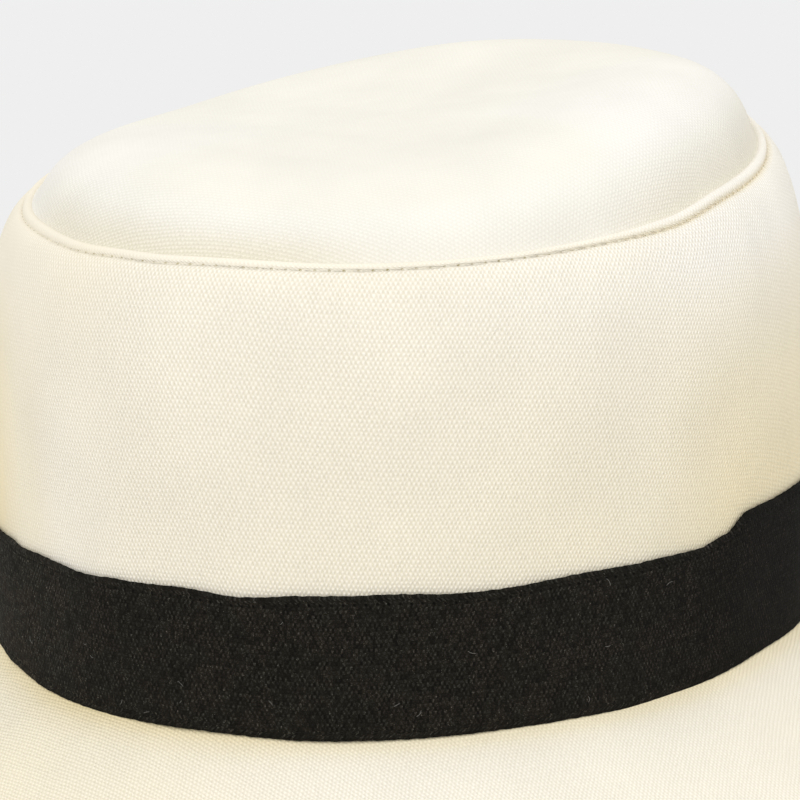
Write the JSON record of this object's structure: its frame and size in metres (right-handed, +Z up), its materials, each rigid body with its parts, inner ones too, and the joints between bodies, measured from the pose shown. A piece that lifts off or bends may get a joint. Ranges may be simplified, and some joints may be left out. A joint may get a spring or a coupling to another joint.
{
  "type": "brimmed canvas sun hat",
  "caption": "Soft sun hat with an oval crown, a puffed top panel, a cloth band round the crown's foot and a sloping brim all round.",
  "frame": {"origin": "on the surface the hat rests on, under the middle of its brim", "axes": "+Z up, the hat's front towards -Y, its sides along X"},
  "size_m": [0.3016, 0.3282, 0.15],
  "materials": {
    "tip_canvas": "matt cream plain-weave cotton canvas",
    "side_canvas": "matt cream plain-weave cotton canvas",
    "brim_canvas": "matt cream plain-weave cotton canvas, two plies",
    "band_cloth": "matt black plain-weave cotton cloth"
  },
  "bodies": {
    "root": {"crown_tip": "tip_canvas", "crown_side": "side_canvas", "hat_band": "band_cloth", "brim": "brim_canvas"}
  },
  "joints": []
}
